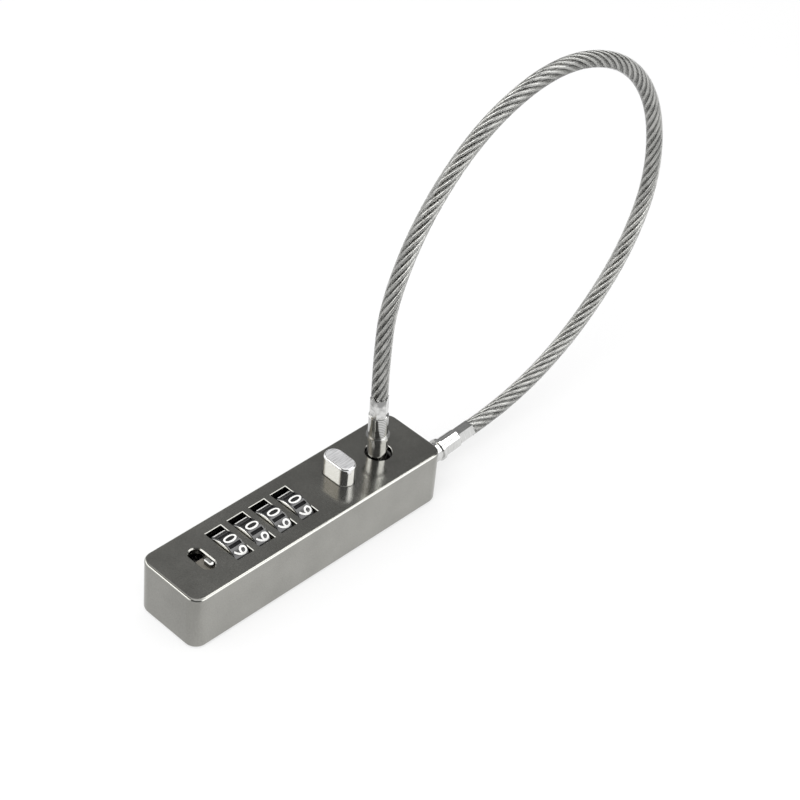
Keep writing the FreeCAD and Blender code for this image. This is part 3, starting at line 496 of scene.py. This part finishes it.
buttonSatin = metal("satin nickel", {
    "dark": (0.88, 0.88, 0.88), "light": (0.94, 0.94, 0.94), "rough": (0.08, 0.13),
    "cloud": 160, "grain": 4200, "draw": (0.08, 1, 1), "bump": 0.05, "depth": 0.00002, "draft": 0.058,
    "cap": {"above": buttonBox[1].z - capDepth, "colour": (0.90, 0.90, 0.91), "stroke": 0.66,
            "rough": 0.45, "metal": 0.78}})
plainSteel = metal("plain steel", {
    "dark": (0.40, 0.40, 0.39), "light": (0.55, 0.55, 0.54), "rough": (0.25, 0.42),
    "cloud": 150, "grain": 1800, "draw": (0.2, 1, 1), "bump": 0.15, "depth": 0.00004})
darkSteel = metal("blackened steel", {
    "dark": (0.05, 0.05, 0.05), "light": (0.11, 0.11, 0.108), "rough": (0.28, 0.42),
    "cloud": 220, "grain": 2200, "draw": (1, 1, 0.3), "bump": 0.12, "depth": 0.00003})
springSteel = metal("spring steel", {
    "dark": (0.34, 0.34, 0.35), "light": (0.52, 0.52, 0.52), "rough": (0.18, 0.32),
    "cloud": 300, "grain": 2600, "draw": (1, 1, 1), "bump": 0.10, "depth": 0.00002})
brass = metal("turned brass", {
    "dark": (0.62, 0.43, 0.18), "light": (0.74, 0.55, 0.26), "rough": (0.20, 0.34),
    "cloud": 200, "grain": 2400, "draw": (1, 0.3, 0.3), "bump": 0.10, "depth": 0.00002})
ropeSteel = metal("rope steel", {
    "dark": (0.34, 0.34, 0.33), "light": (0.64, 0.64, 0.62), "rough": (0.20, 0.36),
    "cloud": 260, "grain": 3000, "draw": (1, 1, 1), "bump": 0.05, "depth": 0.00002})

# the reset lever: painted shade on its tab's sides, a painted highlight along the left and near edges of its
# top, and painted light on its plate, which lies below the slot
plateBelow, rimHeight = 0.0016, 0.00022
leverLook = {
    "plateUnder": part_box("housing")[1].z - plateBelow,
    "rimAbove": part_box("reset_lever")[1].z - rimHeight,
    # the near-white colour below is a painted highlight on the tab's top edges
    "rimLeft": -0.02895, "rimNear": -0.0017, "rim": (0.95, 0.95, 0.93),
    # sides and top are one steel in two tones: the darker sides are painted shade, the lighter top is
    # painted light
    "sides": [(0.3, (0.12, 0.12, 0.115)), (0.7, (0.24, 0.24, 0.23))],
    "top": [(0.3, (0.40, 0.40, 0.38)), (0.7, (0.52, 0.52, 0.50))],
    # the plate's brown is painted lighter, as painted light on a plate that lies in shade under the slot
    "plate": (0.21, 0.195, 0.17), "plateDark": 0.85,
    "rough": (0.22, 0.34), "dullRough": 0.45, "dullMetal": 0.25,
    "haze": 1400, "bump": 0.1, "depth": 0.00002,
}


def leverFinish():
    # painted shade on the sides, a lighter top with a painted highlight along its left and near edges, and a
    # dull brown plate under the slot with painted light on it
    made, tree, shader = startFinish("lever steel")
    here = objectPlace(tree)
    haze = noise(tree, here, leverLook["haze"])
    spot = split(tree, here)
    low = maths(tree, "LESS_THAN", spot["Z"], leverLook["plateUnder"])
    high = maths(tree, "GREATER_THAN", spot["Z"], leverLook["rimAbove"])
    left = maths(tree, "LESS_THAN", spot["X"], leverLook["rimLeft"])
    near = maths(tree, "LESS_THAN", spot["Y"], leverLook["rimNear"])
    # painted highlight: near-white, dull colour along the top's left and near edges
    rim = maths(tree, "MULTIPLY", maths(tree, "MAXIMUM", left, near), high)
    plate = leverLook["plate"]
    plateDark = tuple(leverLook["plateDark"] * c for c in plate)
    # painted shade on the sides, painted light on the top
    sides, top = ramp(tree, haze, leverLook["sides"]), ramp(tree, haze, leverLook["top"])
    colour = blendColour(tree, high, sides, top)
    colour = blendColour(tree, rim, colour, leverLook["rim"])
    # painted light: the plate under the slot lies in shade and gets a lighter brown
    colour = blendColour(tree, low, colour, ramp(tree, haze, [(0.3, plateDark), (0.7, plate)]))
    dull = maths(tree, "MAXIMUM", low, rim)
    rough = spread(tree, haze, *leverLook["rough"])
    fill(tree, shader, {"Base Color": colour,
                        "Metallic": blendValue(tree, dull, 1, leverLook["dullMetal"]),
                        "Roughness": blendValue(tree, dull, rough, leverLook["dullRough"]),
                        "Normal": bumped(tree, leverLook["bump"], leverLook["depth"], haze)})
    return made


# the number wheels: first is wheel 1's middle, side where its flat sides begin, axis in y and z
wheelFace = {
    "first": -0.02112, "pitch": 0.0069, "side": 0.0022, "axis": (0.0004, 0.01014),
    "grooveUnder": 0.00632, "draft": 0.09,
    "black": [(0.3, (0.005, 0.005, 0.006)), (0.7, (0.011, 0.011, 0.012))],
    "bare": [(0.3, (0.76, 0.76, 0.75)), (0.7, (0.88, 0.88, 0.87))],
    "rough": (0.16, 0.26), "grooveRough": 0.6, "bareRough": 0.16, "grooveShine": 0.2,
    "haze": 900, "bump": 0.08, "depth": 0.00003,
}


def blackEnamelFinish():
    # black round the wheel, bare metal on its flat sides, dull in the grooves; one for all wheels
    made, tree, shader = startFinish("black enamel")
    here = objectPlace(tree)
    haze = noise(tree, here, wheelFace["haze"])
    pitch = wheelFace["pitch"]
    shifted = maths(tree, "ADD", split(tree, here)["X"], pitch / 2 - wheelFace["first"])
    centred = maths(tree, "SUBTRACT", maths(tree, "MODULO", shifted, pitch), pitch / 2)
    side = maths(tree, "GREATER_THAN", maths(tree, "ABSOLUTE", centred), wheelFace["side"])
    fromAxis = vectorMaths(tree, "SUBTRACT", here, (0, *wheelFace["axis"]))
    reach = vectorMaths(tree, "LENGTH", vectorMaths(tree, "MULTIPLY", fromAxis, (0, 1, 1)))
    groove = maths(tree, "LESS_THAN", reach, wheelFace["grooveUnder"])
    black, bare = ramp(tree, haze, wheelFace["black"]), ramp(tree, haze, wheelFace["bare"])
    colour = blendColour(tree, side, black, bare)
    rough = blendValue(tree, groove, spread(tree, haze, *wheelFace["rough"]), wheelFace["grooveRough"])
    bump = bumped(tree, wheelFace["bump"], wheelFace["depth"], haze, Normal=leaned(tree, wheelFace["draft"]))
    fill(tree, shader, {"Base Color": colour, "Metallic": side,
                        "Roughness": blendValue(tree, side, rough, wheelFace["bareRough"]),
                        "Specular IOR Level": blendValue(tree, groove, 1.0, wheelFace["grooveShine"]),
                        "Normal": bump})
    return made


leverSteel = leverFinish()
blackEnamel = blackEnamelFinish()
numberPaint = coated("number paint", {
    "haze": 3500, "detail": 3, "tones": [(0.25, (0.74, 0.74, 0.72)), (0.55, (0.90, 0.90, 0.88))],
    "rough": (0.35, 0.5), "bump": 0.1, "depth": 0.00002, "extra": {}})
clearPlastic = coated("clear jacket", {
    "haze": 420, "detail": 2, "tones": [(0.3, (0.93, 0.93, 0.92)), (0.7, (0.98, 0.98, 0.97))],
    "rough": (0.02, 0.06), "bump": 0.12, "depth": 0.0001,
    "extra": {"IOR": 1.45, "Transmission Weight": 1}})

wearsWhat = {
    "housing": satinAlloy, "bottom_cover": satinAlloy, "cover_screws": plainSteel,
    "wheel_frame": plainSteel, "detent_spring": springSteel, "spindle": plainSteel,
    "reset_plate": plainSteel, "reset_lever": leverSteel, "latch": plainSteel,
    "button": buttonSatin, "button_springs": springSteel, "plug_socket": darkSteel,
    "plug_terminal": nickelUpright, "end_terminal": nickelLying, "end_clip": plainSteel,
    "reset_spring": springSteel, "latch_spring": springSteel, "ejector_spring": springSteel,
    "wire_rope": ropeSteel, "rope_jacket": clearPlastic,
}
for n in range(1, wheelCount + 1):
    wearsWhat[f"number_wheel_{n}"] = blackEnamel
    wearsWhat[f"code_sleeve_{n}"] = brass

for name, finish in wearsWhat.items():
    dress(nodes[name], finish)
dress(jacket, clearPlastic)
dress(strands, ropeSteel)
for ring in numberRings:
    dress(ring, numberPaint)
for spring in springs:
    dress(spring, springSteel)
print("finishes put on:", len(wearsWhat), "nodes")


# floor, lamp and the cards that only reflections see
def even(tone):
    return [(0, tone), (1, tone)]


def darkBehind(tone):
    # the end of a left card that lies behind the object stays dark
    return [(0, 0.05), (0.14, 0.05), (0.36, tone), (1, tone)]


studio = {
    "sky": 0.95,
    "floor": {"size": 6, "place": (0, 0, -0.0001), "colour": (0.9, 0.9, 0.9), "rough": 0.9, "shine": 0.1,
              "glow": 0.6},
    # in reflections the floor is duller past the housing's left end (in x) than along its side
    "floorDull": {"low": 0.53, "high": 0.87, "fromLow": -0.047, "fromHigh": -0.034},
    "lamp": {"place": (-0.35, -0.15, 0.6), "aim": (0.02, 0, 0.02), "size": (0.5, 0.35), "power": 2.2},
    # azimuth and elevation in degrees, distance and size in metres, glow along the card
    "cards": {
        "right_softbox": {"azimuth": -62, "elevation": 35, "distance": 1.2, "size": (1.44, 0.58),
                          "glow": even(2.5)},
        "left_softbox": {"azimuth": 143.5, "elevation": 32.5, "distance": 1.2, "size": (2.28, 0.32),
                         "glow": darkBehind(3.0)},
        "left_card": {"azimuth": 143.5, "elevation": 45, "distance": 1.2, "size": (2.28, 0.21),
                      "tint": (1, 0.93, 0.80), "glow": darkBehind(0.7)},
        "left_upper_card": {"azimuth": 143.5, "elevation": 60, "distance": 1.2, "size": (2.28, 0.42),
                            "glow": darkBehind(0.3)},
        "back_card": {"azimuth": 34, "elevation": 36, "distance": 1.3, "size": (3.4, 0.96),
                      "glow": [(0, 0.35), (0.38, 0.35), (0.47, 0.22), (1, 0.17)]},
        "back_low_card": {"azimuth": 34, "elevation": 4, "distance": 1.35, "size": (3.4, 0.6),
                          "glow": even(0.10)},
        "top_softbox": {"azimuth": 3, "elevation": 60, "distance": 1.0, "size": (0.62, 0.30),
                        "glow": even(3.2)},
        "front_card": {"azimuth": -136, "elevation": 30, "distance": 1.3, "size": (2.3, 1.5),
                       "glow": even(0.14)},
    },
}


def floorFinish():
    made, tree, shader = startFinish("studio floor")
    look = studio["floor"]
    fill(tree, shader, {"Base Color": (*look["colour"], 1), "Roughness": look["rough"],
                        "Specular IOR Level": look["shine"]})
    ray = addNode(tree, "ShaderNodeLightPath").outputs
    dull = spread(tree, split(tree, objectPlace(tree))["X"], **studio["floorDull"],
                  interpolation_type="SMOOTHSTEP")
    level = maths(tree, "MAXIMUM", ray["Is Camera Ray"], dull)
    glowing = addNode(tree, "ShaderNodeEmission", {"Color": (*white, 1), "Strength": level})
    seen = maths(tree, "MAXIMUM", ray["Is Camera Ray"], ray["Is Glossy Ray"])
    seen = maths(tree, "MAXIMUM", seen, ray["Is Transmission Ray"])
    share = maths(tree, "MULTIPLY", seen, look["glow"])
    mixed = addNode(tree, "ShaderNodeMixShader", {0: share, 1: shader.outputs[0], 2: glowing.outputs[0]})
    tree.links.new(mixed.outputs[0], tree.nodes["Material Output"].inputs["Surface"])
    return made


clearSelection()
bpy.ops.mesh.primitive_plane_add(size=studio["floor"]["size"], location=studio["floor"]["place"])
floor = bpy.context.object
floor.name = "floor"
bpy.ops.object.transform_apply(location=True, rotation=True, scale=True)
dress(floor, floorFinish())

world = bpy.data.worlds.new("studio")
world.use_nodes = True
bpy.context.scene.world = world
back = world.node_tree.nodes["Background"]
back.inputs["Color"].default_value = (*white, 1)
back.inputs["Strength"].default_value = studio["sky"]


def addCard(name, look):
    # a glowing or dull card that faces the object; glow runs from its high azimuth end to its low one
    across, up = math.radians(look["azimuth"]), math.radians(look["elevation"])
    place = Vector((math.cos(up) * math.cos(across), math.cos(up) * math.sin(across), math.sin(up)))
    clearSelection()
    bpy.ops.mesh.primitive_plane_add(size=1, location=place * look["distance"])
    card = bpy.context.object
    card.name = name
    card.scale = (*look["size"], 1)
    card.rotation_euler = (-place).to_track_quat("Z", "Y").to_euler()
    bpy.ops.object.transform_apply(location=True, rotation=True, scale=True)
    made, tree = startFinish(name)[:2]
    full = max(level for spot, level in look["glow"])
    tint = look.get("tint", white)
    stops = [(spot, tuple(level / full * c for c in tint)) for spot, level in look["glow"]]
    along = split(tree, addNode(tree, "ShaderNodeTexCoord").outputs["UV"])["X"]
    glow = addNode(tree, "ShaderNodeEmission", {"Color": ramp(tree, along, stops), "Strength": full})
    tree.links.new(glow.outputs[0], tree.nodes["Material Output"].inputs["Surface"])
    dress(card, made)
    card.visible_camera = False
    card.visible_diffuse = False
    card.visible_shadow = False


for name, look in studio["cards"].items():
    addCard(name, look)

lamp = studio["lamp"]
clearSelection()
bpy.ops.object.light_add(type="AREA", location=lamp["place"])
key = bpy.context.object
key.data.shape = "RECTANGLE"
key.data.size, key.data.size_y = lamp["size"]
key.data.energy = lamp["power"]
key.visible_glossy = False
key.rotation_euler = (Vector(lamp["aim"]) - key.location).to_track_quat("-Z", "Y").to_euler()
print("floor and light set")

bpy.context.scene.view_settings.view_transform = "Standard"
